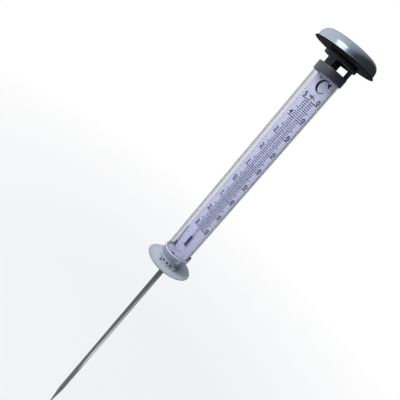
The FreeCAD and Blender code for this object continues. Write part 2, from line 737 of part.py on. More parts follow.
# Spirit: the bulb's filling, the column up to the reading, and the slug at the top of the column.
bulb = Piece("spirit_bulb")
bulb.turned([(0, bulb_low), (s.bulb_radius, bulb_low), (s.bulb_radius, bulb_side_top),
             (s.bore_radius, bulb_top), (0, bulb_top)])
keep("spirit_bulb", place(bulb.body, y=stem_place))
slug_radius = s.bore_radius - s.meniscus_play
slug_low = reading - s.meniscus_length
keep("spirit_column", cylinder("spirit_column", slug_radius, slug_low - bulb_top, y=stem_place, z=bulb_top))
keep("spirit_meniscus", cylinder("spirit_meniscus", slug_radius, s.meniscus_length, y=stem_place, z=slug_low))

# Clips: two small saddles that hold the stem against the card.
clip_depth = 2 * s.stem_radius + s.clip_cover
saddle_back = s.card_face - stem_place
clips = []
for n, level in enumerate((glass_low + s.clip_level, scale_top + s.stem_over / 2)):
    saddle = block(f"clip_block{n}", (s.clip_width, clip_depth, s.clip_height),
                   (0, s.card_face - clip_depth / 2), level)
    stem_room = joined(f"stem_room{n}", [
        cylinder(f"clip_bore{n}", s.stem_radius, s.clip_height, y=stem_place, z=level),
        block(f"clip_slot{n}", (2 * s.stem_radius, saddle_back + s.overrun, s.clip_height),
              (0, stem_place + (saddle_back + s.overrun) / 2), level),
    ])
    clips.append(cut(f"clip{n}", saddle, stem_room))
keep("stem_clips", grouped("stem_clips", clips))

# Neck frame: three posts on the collar and the flange that the head locks in.
flange_rim = flange_radius - s.flange_edge
neck = Piece("neck_blank")
neck.turned([
    (flange_bore, flange_low), (flange_rim, flange_low), (flange_radius, flange_low + s.flange_edge),
    (flange_radius, flange_top - s.flange_edge), (flange_rim, flange_top), (flange_bore, flange_top),
])
post = neck.feature(
    "Pad",
    outline(neck.sketch("XY_Plane", collar_top), rectangle(
        (-s.post_width / 2, -post_outer), (s.post_width / 2, s.post_depth - post_outer))),
    Length=s.neck_gap + s.flange_lug_level)
neck.around(post, s.post_count)
neck_tools = joined("neck_tools", [
    cylinder(f"post_hole{n}", s.neck_screw_radius, s.neck_screw_length, x, y, roof_low)
    for n, (x, y) in enumerate(post_places)
] + [
    cylinder("neck_bore", flange_bore, s.flange_height + s.overrun, z=flange_low),
    tracks("head_tracks", head_spigot_radius + s.head_lug_reach + s.turn_gap, neck_track_low,
           flange_top + s.overrun, s.head_lug_count, s.post_turn),
])
keep("neck_frame", cut("neck_frame", neck.body, neck_tools))

# Neck screws: up through the collar's top wall into the posts.
keep("neck_screws", grouped("neck_screws", [
    pan_screw(f"neck_screw{n}", s.neck_screw_radius, s.neck_screw_length, s.neck_head_radius,
              s.neck_head_height, roof_low, x, y)
    for n, (x, y) in enumerate(post_places)]))


# ---- Head --------------------------------------------------------------------------------------------------

# Underside plate: rim, turn ring, spigot with its lugs, hub floor and the posts for the board.
head_spigot_low = neck_track_low + s.turn_gap - s.spigot_below
turn_ring_low = flange_top + s.turn_gap
turn_ring_radius = flange_radius - s.turn_ring_inset
hub_top = turn_ring_low + s.hub_floor
hub_wall = turn_ring_radius - s.plate_thick
hub_inner = head_spigot_radius - s.head_spigot_wall
plate = Piece("plate_blank")
plate.turned([
    (s.light_tube_radius, turn_ring_low), (hub_inner, turn_ring_low), (hub_inner, head_spigot_low),
    (head_spigot_radius, head_spigot_low), (head_spigot_radius, turn_ring_low),
    (turn_ring_radius, turn_ring_low), (turn_ring_radius, plate_low),
    (lip_radius - s.lip_land, plate_low), (lip_radius, plate_low + s.lip_land / 2),
    (lip_radius - s.lip_land / 2, plate_top), (hub_wall, plate_top),
    (hub_wall, hub_top), (s.light_tube_radius, hub_top),
])
seal_outer = s.dome_radius - (s.dome_wall - s.dome_seal_width) / 2
dome_seal_low = plate_top - s.dome_seal_depth
plate.turned(rectangle(
    (seal_outer - s.dome_seal_width, dome_seal_low), (seal_outer, plate_top + s.overrun)), "Groove")
plate_places = ring_places(s.dome_radius - s.plate_screw_inset, s.plate_screw_count, s.post_turn)
board_low = plate_top + s.board_stand
board_reach = hub_wall - s.board_post_seat
board_offset = root(board_reach * board_reach - s.board_hole_pitch * s.board_hole_pitch / 4)
board_places = [(side * s.board_hole_pitch / 2, -board_offset) for side in (-1, 1)]
knob_slot = (s.slider_knob_length + s.switch_travel + 2 * s.slider_play,
             s.slider_knob_width + 2 * s.slider_play, s.plate_thick + 2 * s.overrun)
plate_lugs = lugs("plate_lug", head_spigot_radius, s.head_lug_reach, neck_track_low + s.turn_gap,
                  s.head_lug_count, s.post_turn)
plate_solid = joined("plate_solid", [plate.body] + plate_lugs + [
    cylinder(f"board_post{n}", s.board_post_radius, s.board_stand + s.plate_thick, x, y, plate_low)
    for n, (x, y) in enumerate(board_places)
])
plate_holes = joined("plate_holes", [
    cylinder(f"plate_hole{n}", s.plate_screw_radius, s.plate_thick + 2 * s.overrun, x, y,
             plate_low - s.overrun)
    for n, (x, y) in enumerate(plate_places)
] + [
    cylinder(f"board_hole{n}", s.board_screw_radius, s.board_screw_length, x, y,
             board_low + s.board_thick - s.board_screw_length)
    for n, (x, y) in enumerate(board_places)
] + [block("knob_slot", knob_slot, (0, s.switch_place), plate_low - s.overrun)])
keep("underside_plate", cut("underside_plate", plate_solid, plate_holes))

# Seal under the dome's edge.
dome_seal = Piece("dome_seal")
dome_seal.turned(rectangle((seal_outer - s.dome_seal_width, dome_seal_low), (seal_outer, plate_top)))
keep("dome_seal", dome_seal.body)


def dome_solid(name, inset):
    """The dome's outer form, or the form of its inside, which stands in from it by the wall."""
    side_low = s.dome_radius - inset
    side_top = side_low - s.dome_draft
    crown = s.crown_radius - inset
    top = dome_top - inset
    corner = top - crown_drop(side_top, crown)
    form = Piece(name)
    form.turned([(0, plate_top), (side_low, plate_top), (side_top, corner), (0, top)], arcs={2: crown})
    form.rounded(s.shoulder_radius - inset, corner, side_top)
    return form.body


# Dome: moulded shell with screw bosses inside, open at the crown for the window.
outer_form = dome_solid("dome_outer", dim(0))
shell = cut("dome_hollow", outer_form, dome_solid("dome_inner", s.dome_wall))
glazing_height = dome_top - glazing_low + s.overrun
bosses = common("dome_bosses", dome_solid("boss_limit", s.dome_wall / 2), joined("boss_posts", [
    cylinder(f"dome_boss{n}", s.dome_boss_radius, s.dome_boss_height, x, y, plate_top)
    for n, (x, y) in enumerate(plate_places)]))
boss_depth = s.plate_screw_length - s.plate_thick
dome_holes = joined("dome_holes", [
    cylinder(f"dome_boss_hole{n}", s.plate_screw_radius, boss_depth, x, y, plate_top)
    for n, (x, y) in enumerate(plate_places)
] + [cylinder("crown_opening", glazing_radius, glazing_height, z=glazing_low)])
keep("dome_shell", cut("dome_shell", joined("dome_bossed", [shell, bosses]), dome_holes))

# Window: a clear cover, crowned above and flat below, glued in the dome's opening.
keep("cell_window", common("cell_window", dome_solid("glazing_form", dim(0)),
                           cylinder("glazing_disc", glazing_radius, glazing_height, z=glazing_low)))

# Solar cell bonded to the flat side of the window.
keep("solar_cell", block("solar_cell", (s.cell_side, s.cell_side, s.cell_thick), (0, 0), cell_low))

# Plate screws: up from below into the dome's bosses.
keep("plate_screws", grouped("plate_screws", [
    pan_screw(f"plate_screw{n}", s.plate_screw_radius, s.plate_screw_length, s.plate_head_radius,
              s.plate_head_height, plate_low, x, y)
    for n, (x, y) in enumerate(plate_places)]))

# Light tube: carries the diode and its leads down through the neck.
lamp_low = collar_top - s.light_tube_drop
light_tube = Piece("light_tube")
light_tube.turned(rectangle((s.light_tube_bore, lamp_low), (s.light_tube_radius, hub_top)))
keep("light_tube", light_tube.body)

# Diode: pointing down, its rim inside the end of the light tube.
lamp_rim_low = lamp_low + s.lamp_radius
lamp_top = lamp_rim_low + s.lamp_flange
lamp = Piece("light_diode")
lamp.turned([
    (0, lamp_rim_low - s.lamp_barrel - s.lamp_radius), (s.lamp_radius, lamp_rim_low - s.lamp_barrel),
    (s.lamp_radius, lamp_rim_low), (s.lamp_rim, lamp_rim_low), (s.lamp_rim, lamp_top), (0, lamp_top),
], arcs={0: s.lamp_radius})
keep("light_diode", lamp.body)
keep("diode_leads", grouped("diode_leads", [
    cylinder(f"lead{n}", s.lead_radius, board_low - lamp_top, side * s.lead_pitch / 2, 0, lamp_top)
    for n, side in enumerate((-1, 1))]))

# Battery cradle: an open tray behind the axis, with end walls for the contacts.
cell_room = s.cell_length + s.cell_nub + s.spring_length + s.contact_thick
cradle_length = cell_room + 2 * s.cradle_wall
cradle_size = (cradle_length, 2 * (s.cell_radius + s.cradle_play + s.cradle_wall), cell_axis - plate_top)
cradle_blank = block("cradle_blank", cradle_size, (0, s.cradle_offset), plate_top)
cradle_room = lying("cradle_room", s.cell_radius + s.cradle_play, cell_room, -cell_room / 2, s.cradle_offset,
                    cell_axis)
keep("battery_cradle", cut("battery_cradle", cradle_blank, cradle_room))

# Cell: AA size, its positive cap against the contact plate.
cell_start = s.spring_length - cell_room / 2
keep("battery_cell", joined("battery_cell", [
    lying("cell_can", s.cell_radius, s.cell_length, cell_start, s.cradle_offset, cell_axis),
    lying("cell_nub", s.cell_nub_radius, s.cell_length + s.cell_nub, cell_start, s.cradle_offset, cell_axis),
]))
contact = block("battery_contact", (s.contact_thick, s.contact_side, s.contact_side),
                ((cell_room - s.contact_thick) / 2, s.cradle_offset), cell_axis - s.contact_side / 2)
keep("battery_contact", contact)

# Leaf spring: a folded strip between the cradle's end wall and the cell.
wall_face = -cell_room / 2
cell_face = wall_face + s.spring_length
wall_strip = wall_face + s.leaf_strip
cell_strip = cell_face - s.leaf_strip
leaf_low = s.cradle_offset - s.leaf_half
leaf_high = s.cradle_offset + s.leaf_half
leaf_end = s.cradle_offset - s.leaf_half / 2
leaf = Piece("battery_spring")
leaf.feature("Pad", outline(leaf.sketch("XY_Plane", cell_axis - s.leaf_height / 2), [
    (wall_face, leaf_low), (wall_strip, leaf_low), (wall_strip, leaf_high - s.leaf_fold),
    (cell_strip, s.cradle_offset - s.leaf_fold), (cell_strip, leaf_end), (cell_face, leaf_end),
    (cell_face, s.cradle_offset), (wall_strip, leaf_high), (wall_face, leaf_high),
]), Length=s.leaf_height)
keep("battery_spring", leaf.body)

# Circuit board with its coil and chip, and its two screws.
board = block("board_blank", (s.board_length, s.board_width, s.board_thick), (0, -board_offset), board_low)
keep("circuit_board", cut("circuit_board", board, joined("board_holes", [
    cylinder(f"board_clear{n}", s.board_screw_radius, s.board_thick, x, y, board_low)
    for n, (x, y) in enumerate(board_places)])))
board_top = board_low + s.board_thick
keep("board_parts", grouped("board_parts", [
    cylinder("coil", s.coil_radius, s.coil_height, -s.chip_place, -board_offset, board_top),
    block("chip", (s.chip_length, s.chip_width, s.chip_height), (s.chip_place, -board_offset), board_top),
]))
keep("board_screws", grouped("board_screws", [
    pan_screw(f"board_screw{n}", s.board_screw_radius, s.board_screw_length, s.board_head_radius,
              s.board_head_height, board_top, x, y, up=False)
    for n, (x, y) in enumerate(board_places)]))

# Switch: a hollow housing on the plate, and a slider with its knob down through the plate's slot.
housing = block("switch_block", (s.switch_length, s.switch_width, s.switch_height), (0, s.switch_place),
                plate_top)
hollow = block("switch_hollow", (s.switch_length - 2 * s.switch_wall, s.switch_width - 2 * s.switch_wall,
                                 s.switch_height - s.switch_wall), (0, s.switch_place), plate_top)
keep("switch_housing", cut("switch_housing", housing, hollow))
bar_length = s.switch_length - 2 * s.switch_wall - s.switch_travel - 2 * s.slider_play
rest_shift = -s.switch_travel / 2
keep("switch_slider", joined("switch_slider", [
    block("slider_bar", (bar_length, s.switch_width - 2 * s.switch_wall - 2 * s.slider_play, s.slider_bar),
          (rest_shift, s.switch_place), plate_top + s.slider_play),
    block("slider_knob", (s.slider_knob_length, s.slider_knob_width,
                          s.plate_thick + s.slider_knob_drop + s.slider_play + s.slider_bar / 2),
          (rest_shift, s.switch_place), plate_low - s.slider_knob_drop),
]))


# ---- Check and write ---------------------------------------------------------------------------------------

doc.recompute()
faults = [thing.Name for thing in doc.Objects if {"Invalid", "Error"} & set(thing.State)]
faults += [name for name, thing in nodes.items() if thing.Shape.isNull() or not thing.Shape.isValid()]
faults += [name for name, thing in nodes.items() if not thing.Shape.Solids]
if faults:
    raise SystemExit(f"not built: {', '.join(faults)}")
os.makedirs("parts", exist_ok=True)
for name, thing in nodes.items():
    thing.Shape.exportStep(f"parts/{name}.step")
print(len(nodes), "sub-parts, top at", round(dome_top.number, 1), "mm")
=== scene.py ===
import json
import math

import bmesh
import bpy
from mathutils import Matrix, Vector


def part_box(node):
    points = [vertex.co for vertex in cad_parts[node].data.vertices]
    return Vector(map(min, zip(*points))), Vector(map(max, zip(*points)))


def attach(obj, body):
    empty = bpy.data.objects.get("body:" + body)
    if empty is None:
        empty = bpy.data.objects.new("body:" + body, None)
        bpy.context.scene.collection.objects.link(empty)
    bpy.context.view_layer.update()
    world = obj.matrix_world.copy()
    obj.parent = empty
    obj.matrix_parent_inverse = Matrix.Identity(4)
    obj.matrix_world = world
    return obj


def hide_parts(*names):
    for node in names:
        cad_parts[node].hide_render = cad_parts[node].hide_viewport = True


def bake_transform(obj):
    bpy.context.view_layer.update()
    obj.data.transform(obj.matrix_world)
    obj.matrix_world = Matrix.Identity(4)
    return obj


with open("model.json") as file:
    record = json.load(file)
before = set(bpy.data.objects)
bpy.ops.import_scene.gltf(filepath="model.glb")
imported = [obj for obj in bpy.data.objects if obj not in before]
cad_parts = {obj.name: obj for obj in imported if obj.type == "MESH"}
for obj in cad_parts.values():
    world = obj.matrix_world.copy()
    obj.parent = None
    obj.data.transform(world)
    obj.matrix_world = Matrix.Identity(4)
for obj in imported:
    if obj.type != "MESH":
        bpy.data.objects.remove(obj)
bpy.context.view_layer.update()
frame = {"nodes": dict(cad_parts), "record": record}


# ---- Stake -----------------------------------------------------------------------------------------
# A drawn steel tube, 10 mm across, with a turned point crimped into its lower end. The drawing leaves
# fine lines along the tube and the lathe leaves them round the point.

mm = 0.001


class Value:
    """One output of a shader node; a sum on it adds the Math node that works it out."""

    def __init__(self, finish, socket):
        self.finish = finish
        self.socket = socket

    def maths(self, operation, first, second):
        return self.finish.node("Math", {"operation": operation}, {0: first, 1: second})

    def __add__(self, other):
        return self.maths("ADD", self, other)

    def __radd__(self, other):
        return self.maths("ADD", other, self)

    def __sub__(self, other):
        return self.maths("SUBTRACT", self, other)

    def __rsub__(self, other):
        return self.maths("SUBTRACT", other, self)

    def __mul__(self, other):
        return self.maths("MULTIPLY", self, other)

    def __rmul__(self, other):
        return self.maths("MULTIPLY", other, self)

    def __pow__(self, other):
        return self.maths("POWER", self, other)

    def __gt__(self, other):
        return self.maths("GREATER_THAN", self, other)


class Finish:
    """A material: the shader's own sockets hold what is the same all over, and nodes feed the rest."""

    def __init__(self, name, **sockets):
        self.material = bpy.data.materials.new(name)
        self.material.use_nodes = True
        self.tree = self.material.node_tree
        self.shader = self.tree.nodes["Principled BSDF"]
        self.feed(self.shader, {word.replace("_", " "): value for word, value in sockets.items()})
        self.place = self.node("TexCoord", output="Object")

    def feed(self, node, inputs):
        for socket, value in inputs.items():
            if isinstance(value, Value):
                self.tree.links.new(value.socket, node.inputs[socket])
            else:
                node.inputs[socket].default_value = value

    def node(self, kind, settings=None, inputs=None, output=0):
        made = self.tree.nodes.new("ShaderNode" + kind)
        for setting, value in (settings or {}).items():
            setattr(made, setting, value)
        self.feed(made, inputs or {})
        return Value(self, made.outputs[output])

    def noise(self, scale, detail=2.0, stretch=(1, 1, 1)):
        spread = self.node("Mapping", inputs={"Vector": self.place, "Scale": stretch})
        return self.node("TexNoise", inputs={"Vector": spread, "Scale": scale, "Detail": detail})

    def between(self, share, one, other):
        one, other = (end if isinstance(end, Value) else (*end, 1) for end in (one, other))
        return self.node("Mix", {"data_type": "RGBA"}, {0: share, 6: one, 7: other}, output=2)

    def along(self, axis):
        """Where a point lies along X, Y or Z, in metres."""
        return self.node("SeparateXYZ", inputs={0: self.place}, output=axis)

    def show(self, **inputs):
        self.feed(self.shader, {word.replace("_", " "): value for word, value in inputs.items()})
        return self

    def bump(self, height, depth):
        return self.node("Bump", inputs={"Height": height, "Distance": depth * mm, "Strength": 1.0})


def metal(name, colour, roughness, stretch=(1, 1, 1), lines=1500, depth=0.004):
    """Bare metal with tool lines; the stretch draws the lines out along one direction."""
    finish = Finish(name, Metallic=1.0)
    tool = finish.noise(lines, 3.0, stretch)
    cloud = finish.noise(35, 3.0)
    pale = tuple(min(1.0, c * 1.25) for c in colour)
    return finish.show(
        Base_Color=finish.between(tool * 0.6 + cloud * 0.4, tuple(c * 0.7 for c in colour), pale),
        Roughness=tool * 0.16 + cloud * 0.12 + (roughness - 0.14),
        Normal=finish.bump(tool, depth))


bodies = frame["record"]["behaviour"]["bodies"]
body_of = {node: body for body, held in bodies.items() for node in held}


def measure(node):
    """How far a CAD node reaches from the axis, and its lowest and highest level, in millimetres."""
    low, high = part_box(node)
    return high.x / mm, low.z / mm, high.z / mm


def turned(outline, rounding=0.0, steps=96, behind=0.0):
    """A bmesh turned from a closed outline of (radius, level), in mm, about an axis that far behind."""
    mesh = bmesh.new()
    corners = [mesh.verts.new((radius * mm, 0, level * mm)) for radius, level in outline]
    mesh.faces.new(corners)
    if rounding:
        bmesh.ops.bevel(mesh, geom=[v for v in corners if v.co.x > 0], offset=rounding * mm,
                        affect="VERTICES", segments=3, profile=0.5, material=-1)
    bmesh.ops.delete(mesh, geom=mesh.faces[:], context="FACES_ONLY")
    axis = [edge for edge in mesh.edges if all(v.co.x < 1e-9 for v in edge.verts)]
    bmesh.ops.delete(mesh, geom=axis, context="EDGES")
    bmesh.ops.spin(mesh, geom=mesh.verts[:] + mesh.edges[:], cent=(0, 0, 0), axis=(0, 0, 1),
                   angle=math.tau, steps=steps, use_merge=True)
    bmesh.ops.remove_doubles(mesh, verts=mesh.verts, dist=1e-7)
    bmesh.ops.recalc_face_normals(mesh, faces=mesh.faces)
    bmesh.ops.translate(mesh, verts=mesh.verts, vec=(0, behind * mm, 0))
    return mesh


def fitted(name, mesh, finish, node, replaces=True):
    """The finished piece: smooth between its corners, in a CAD node's place and on its body."""
    data = bpy.data.meshes.new(name)
    mesh.to_mesh(data)
    mesh.free()
    data.polygons.foreach_set("use_smooth", [True] * len(data.polygons))
    data.set_sharp_from_angle(angle=math.radians(35))
    data.materials.append(finish.material)
    piece = bpy.data.objects.new(name, data)
    bpy.context.scene.collection.objects.link(piece)
    if replaces:
        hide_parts(node)
    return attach(piece, body_of[node])


drawn_steel = metal("drawn_steel", (0.13, 0.14, 0.148), 0.20, stretch=(1, 1, 0.012))
turned_steel = metal("turned_steel", (0.15, 0.155, 0.165), 0.26, stretch=(0.03, 0.03, 1))
stake_reach, stake_low, stake_high = measure("stake_tube")
disc_reach, disc_low, disc_high = measure("ground_disc")
bore = 4.2
neck = 4.6
seat = 0.4
tip_flat = 0.6
fitted("drawn_stake", turned([
    (bore, stake_low), (stake_reach, stake_low), (stake_reach, disc_low), (neck, disc_low + seat),
    (neck, stake_high), (bore, stake_high),
], rounding=0.12, steps=64), drawn_steel, "stake_tube")
tip_reach, tip_low, tip_high = measure("stake_tip")
fitted("stake_point", turned([
    (0, tip_low), (tip_flat, tip_low), (tip_reach, stake_low), (bore, stake_low), (bore, tip_high),
    (0, tip_high),
], rounding=0.15, steps=64), turned_steel, "stake_tip")


# ---- Ground disc -----------------------------------------------------------------------------------
# A thin round plate that stops the stake at the soil, moulded in a pale blue-grey plastic and held
# between the stake's cone and the socket. A dark band round its edge is painted shade, and a shallow
# step stiffens it.


def moulded(name, colour, roughness, grain=0.010, spread=0.10, coat=0.0, shine=0.5):
    """Moulded plastic: its shade drifts as the plastic flowed, and the mould gave it a fine grain."""
    finish = Finish(name, Coat_Weight=coat, Coat_Roughness=0.06, Specular_IOR_Level=shine)
    flow = finish.noise(28, 3.0, (1, 1, 0.5))
    pores = finish.noise(2600, 3.0)
    dark = tuple(c * (1 - spread) for c in colour)
    pale = tuple(min(1.0, c * (1 + spread)) for c in colour)
    finish.colour = finish.between(flow * 0.8 + pores * 0.2, dark, pale)
    return finish.show(
        Base_Color=finish.colour,
        Roughness=pores * 0.12 + flow * 0.10 + (roughness - 0.11),
        Normal=finish.bump(pores, grain))


pale_plastic = moulded("pale_plastic", (0.50, 0.56, 0.63), 0.36)
across = pale_plastic.node("VectorMath", {"operation": "MULTIPLY"},
                           {0: pale_plastic.place, 1: (1, 1, 0)})
reach = pale_plastic.node("VectorMath", {"operation": "LENGTH"}, {0: across}, output="Value")
# A dark band round the disc's outer edge is painted shade, where its thin rim turns from the light.
rim_shade_width = 0.55
rim_shade = reach > (disc_reach - rim_shade_width) * mm
pale_plastic.show(Base_Color=pale_plastic.between(rim_shade, pale_plastic.colour, (0.10, 0.11, 0.14)))
edge = (disc_high - disc_low) / 2
step = 0.25
step_outer = disc_reach - 3
step_inner = disc_reach - 12
step_slope = 0.4
fitted("soil_disc", turned([
    (neck, disc_low + seat), (stake_reach, disc_low), (disc_reach - edge, disc_low),
    (disc_reach, disc_low + edge * 0.7), (disc_reach, disc_low + edge * 1.3),
    (disc_reach - edge * 0.7, disc_high), (step_outer, disc_high),
    (step_outer - step_slope, disc_high - step), (step_inner, disc_high - step),
    (step_inner - step_slope, disc_high), (neck, disc_high),
], rounding=0.12, steps=160), pale_plastic, "ground_disc")


# ---- Socket ----------------------------------------------------------------------------------------
# The moulding that joins the stake to the tube: a side wall with small windows, four feet on the disc
# and a boss over the stake's end, pulled down by a screw with a washer into a brass plug.


def softened(node, width, angle=30):
    """A bmesh of a CAD node with its triangles merged and its corners rounded by that width."""
    mesh = bmesh.new()
    mesh.from_mesh(frame["nodes"][node].data)
    bmesh.ops.remove_doubles(mesh, verts=mesh.verts, dist=1e-6)
    bmesh.ops.dissolve_limit(mesh, angle_limit=math.radians(0.5), verts=mesh.verts, edges=mesh.edges)
    corners = [edge for edge in mesh.edges
               if len(edge.link_faces) == 2 and edge.calc_face_angle() > math.radians(angle)]
    bmesh.ops.bevel(mesh, geom=corners, offset=width * mm, affect="EDGES", segments=2, profile=0.5,
                    material=-1, clamp_overlap=True)
    return mesh


blue_grey_plastic = moulded("blue_grey_plastic", (0.34, 0.37, 0.43), 0.24, coat=0.5)
fitted("socket_moulding", softened("base_socket", 0.3), blue_grey_plastic, "base_socket")
plug_brass = metal("plug_brass", (0.62, 0.46, 0.20), 0.32, stretch=(0.03, 0.03, 1))
fitted("threaded_plug", softened("stake_plug", 0.15), plug_brass, "stake_plug")
plated_steel = metal("plated_steel", (0.58, 0.58, 0.57), 0.25, lines=900)
for node, name in (("stake_washer", "plain_washer"), ("stake_screw", "socket_screw")):
    fitted(name, softened(node, 0.12), plated_steel, node)


# ---- Lower ring ------------------------------------------------------------------------------------
# Holds the clear tube and locks in the socket with a twist. Moulded in a grey-violet plastic, with a
# painted highlight along its lip, a stop tab on the lip painted black as shade and a black mark for the
# lock. A black seal grips each end of the tube.

ring_reach, _, ring_high = measure("lower_ring")
violet_plastic = moulded("violet_plastic", (0.185, 0.20, 0.285), 0.30, coat=0.3)
# A pale band along the top of the ring is a painted highlight on its lip.
highlight_depth = 0.45
lip_highlight = violet_plastic.along(2) > (ring_high - highlight_depth) * mm
violet_plastic.show(Base_Color=violet_plastic.between(lip_highlight, violet_plastic.colour, (0.72, 0.74, 0.82)))
fitted("ring_moulding", softened("lower_ring", 0.35), violet_plastic, "lower_ring")


def block(mesh, size, middle, turn=0.0, lean=0.0):
    """Adds a box of that size at that middle, in millimetres, turned about Z and leaning about Y."""
    place = Matrix.Translation(Vector(middle) * mm) @ Matrix.Rotation(turn, 4, "Z")
    place = place @ Matrix.Rotation(lean, 4, "Y") @ Matrix.Diagonal((*(Vector(size) * mm), 1))
    return bmesh.ops.create_cube(mesh, size=1, matrix=place)["verts"]


def rounded(mesh, width, segments=3):
    """Rounds every edge of a bmesh of blocks by that width."""
    bmesh.ops.bevel(mesh, geom=mesh.edges[:], offset=width * mm, affect="EDGES", segments=segments,
                    profile=0.5, material=-1, clamp_overlap=True)
    return mesh


def about(radius, angle, level):
    """A point at that radius and angle round the axis."""
    return radius * math.cos(angle), radius * math.sin(angle), level


black_plastic = moulded("black_plastic", (0.014, 0.015, 0.019), 0.40, shine=0.22)
# The stop tab is coloured black as painted shade, where it lies in shadow on the ring.
tab = bmesh.new()
tab_turn = math.radians(49)
block(tab, (3.0, 3.6, 4.6), about(ring_reach - 0.8, tab_turn, ring_high + 0.4), tab_turn)
fitted("ring_tab", rounded(tab, 0.5), black_plastic, "lower_ring", replaces=False)
mark = bmesh.new()
mark_turn = math.radians(-128)
block(mark, (0.5, 4.2, 1.5), about(ring_reach - 0.55, mark_turn, ring_high - 4.4), mark_turn)
fitted("ring_mark", rounded(mark, 0.2), black_plastic, "lower_ring", replaces=False)
seal_rubber = moulded("seal_rubber", (0.018, 0.018, 0.018), 0.62, grain=0.03)
for node, name in (("lower_seal", "lower_gasket"), ("collar_seal", "collar_gasket")):
    fitted(name, softened(node, 0.25), seal_rubber, node)


# ---- Clear tube ------------------------------------------------------------------------------------
# Extruded acrylic, 48 mm across with a 1.5 mm wall. It is almost clear face on and turns grey towards
# its sides, where the eye looks along the wall.


def see_through(name, tint, edge_tint, face, rim, power=3.0, roughness=0.05):
    """Clear plastic or glass: its share of gloss rises from the face to the rim, over a clear part."""
    finish = Finish(name, Base_Color=(*edge_tint, 1), Roughness=roughness)
    grazing = finish.node("LayerWeight", inputs={"Blend": 0.5}, output="Facing")
    drift = finish.noise(40, 2.0, (1, 1, 0.1))
    clear = finish.node("BsdfTransparent", inputs={"Color": (*tint, 1)})
    share = grazing ** power * (rim - face) + face + (drift - 0.5) * 0.02
    mixed = finish.node("MixShader", inputs={0: share, 1: clear})
    finish.tree.links.new(finish.shader.outputs[0], mixed.socket.node.inputs[2])
    output = finish.tree.nodes["Material Output"]
    finish.feed(output, {"Surface": mixed})
    return finish


clear_acrylic = see_through("clear_acrylic", (0.965, 0.967, 0.975), (0.16, 0.165, 0.19), 0.05, 0.92,
                            power=3.6, roughness=0.12)
tube_reach, tube_low, tube_high = measure("clear_tube")
tube_wall = 1.5
fitted("acrylic_tube", turned([
    (tube_reach - tube_wall, tube_low), (tube_reach, tube_low), (tube_reach, tube_high),
    (tube_reach - tube_wall, tube_high),
], rounding=0.2, steps=128), clear_acrylic, "clear_tube")


# ---- Collar ----------------------------------------------------------------------------------------
# A dark slate cap moulded to go over the tube's top end. Three screws run up through its roof.

slate_plastic = moulded("slate_plastic", (0.042, 0.044, 0.060), 0.32, coat=0.25)
fitted("collar_moulding", softened("top_collar", 0.45), slate_plastic, "top_collar")


# ---- Card foot and scale card ----------------------------------------------------------------------
# A moulded foot in the bottom of the tube holds a stiff lavender sheet upright between two prongs. The
# left prong is painted dark at its lower end as shade, fading upwards to a lighter painted shade, and a
# thin black plate near the foot's front edge is painted shade in place of a slot. The sheet is matt,
# with a very fine tooth.

card_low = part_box("scale_card")[0]
card_face = card_low.y / mm
foot_plastic = moulded("foot_plastic", (0.53, 0.55, 0.73), 0.42)
prong_foot = card_low.z + 1.7 * mm
prong_side = 14 * mm
fade_start = prong_foot + 9 * mm
fade_end = prong_foot + 14 * mm
# The left prong's lower end is painted dark as shade, fading upwards to a lighter painted shade.
prong_shade = (foot_plastic.along(0) * -1 > prong_side) * (foot_plastic.along(2) > prong_foot)
shade = foot_plastic.node("MapRange", inputs={
    "Value": foot_plastic.along(2), "From Min": fade_start, "From Max": fade_end})
prong_shade_colour = foot_plastic.between(shade, (0.045, 0.048, 0.10), (0.40, 0.41, 0.56))
foot_plastic.show(Base_Color=foot_plastic.between(prong_shade, foot_plastic.colour, prong_shade_colour))
fitted("foot_moulding", softened("card_foot", 0.25), foot_plastic, "card_foot")
# A thin black plate near the foot's front edge is painted shade, standing in for a dark slot.
slot_shade = bmesh.new()
slot_shade_place = (3.6, -16.4, card_low.z / mm + 1.4)
block(slot_shade, (6.4, 4.6, 0.5), slot_shade_place, math.radians(25))
fitted("foot_slot_shade", rounded(slot_shade, 0.15), black_plastic, "card_foot", replaces=False)
card_sheet = moulded("card_sheet", (0.54, 0.565, 0.745), 0.48, grain=0.006, spread=0.04)
fitted("stiff_card", softened("scale_card", 0.12), card_sheet, "scale_card")


# ---- Scale print -----------------------------------------------------------------------------------
# Screen-printed in dark navy on the card's face: a line for each degree from -30 to 50 on both sides
# of the stem, longer at every fifth and tenth, numbers over the tenths, and the unit at the top.

navy_ink = moulded("navy_ink", (0.014, 0.016, 0.060), 0.50, grain=0.004, shine=0.2)
ink = 0.06
zero_level = 622.3
degree = 3.474
print_middle = 1.3
stem_gap = 1.2
lines = bmesh.new()
for reading in range(-30, 51):
    if reading % 10 == 0:
        end, thick = 16.8, 1.45
    elif reading % 5 == 0:
        end, thick = 13.3, 1.3
    else:
        end, thick = 10.0, 1.2
    for side in (-1, 1):
        middle = print_middle + side * (stem_gap + end) / 2
        block(lines, (end - stem_gap, ink, thick),
              (middle, card_face - ink / 2, zero_level + reading * degree))
fitted("scale_lines", lines, navy_ink, "scale_card", replaces=False)


boldness = 0.032


